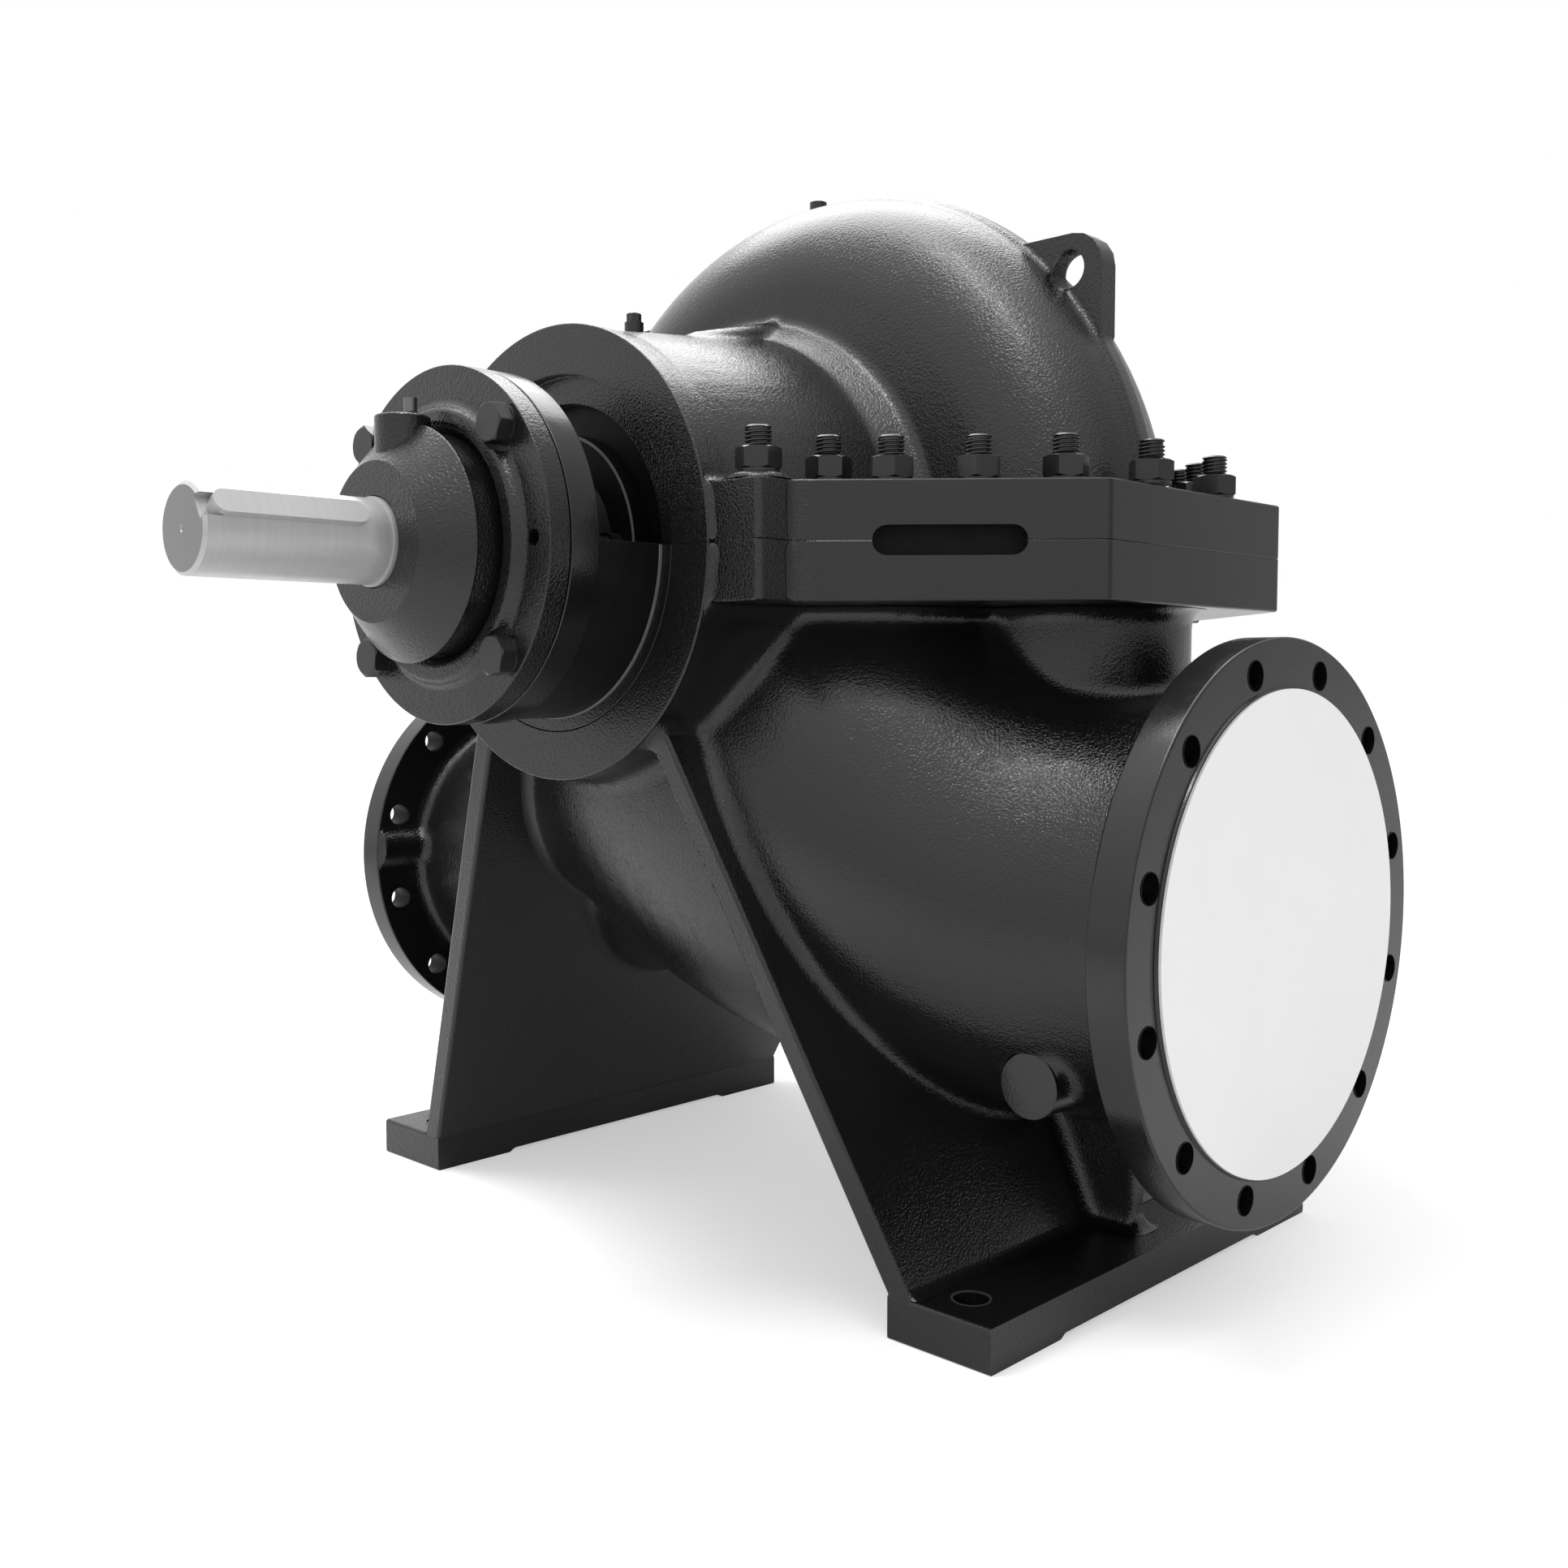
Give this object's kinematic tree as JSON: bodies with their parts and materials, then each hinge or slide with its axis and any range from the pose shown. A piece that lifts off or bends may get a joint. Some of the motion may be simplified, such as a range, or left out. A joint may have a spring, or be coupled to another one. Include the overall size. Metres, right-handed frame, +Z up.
{
  "type": "horizontal split case pump",
  "caption": "Horizontal split case centrifugal pump on cast feet, with flanged side nozzles, open bearing brackets and a keyed shaft end.",
  "frame": {"origin": "centre of the four foot bolt holes, on the base plane", "axes": "+X along the shaft towards the drive end, +Y towards the suction nozzle, +Z up"},
  "size_m": [1.072, 0.973, 0.9309],
  "materials": {
    "casting_paint": "sand-cast surface under matt dark paint",
    "bright_steel": "ground bright steel",
    "cover_sheet": "plain white sheet",
    "gasket_sheet": "compressed fibre sheet",
    "fitting_metal": "painted over with the casting"
  },
  "bodies": {
    "casing": {"lower_casing": "casting_paint", "upper_casing": "casting_paint", "casing_gasket": "gasket_sheet", "suction_nozzle_cover": "cover_sheet", "discharge_nozzle_cover": "cover_sheet", "vent_plug": "casting_paint", "flush_plug_drive": "casting_paint", "flush_plug_far": "casting_paint", "bearing_bracket_drive": "casting_paint", "bearing_cover_drive": "casting_paint", "grease_nipple_drive": "fitting_metal", "seal_cover_drive": "casting_paint", "gland_drive": "casting_paint", "bearing_bracket_far": "casting_paint", "bearing_cover_far": "casting_paint", "grease_nipple_far": "fitting_metal", "seal_cover_far": "casting_paint", "gland_far": "casting_paint"},
    "rotor": {"shaft": "bright_steel", "shaft_key": "bright_steel", "shaft_sleeve_drive": "bright_steel", "slinger_drive": "bright_steel", "shaft_sleeve_far": "bright_steel", "slinger_far": "bright_steel"}
  },
  "joints": [
    {"name": "rotor_spin", "type": "hinge", "parent": "casing", "child": "rotor", "pos_m": [0, 0, 0.586], "axis": [1, 0, 0], "continuous": true}
  ]
}
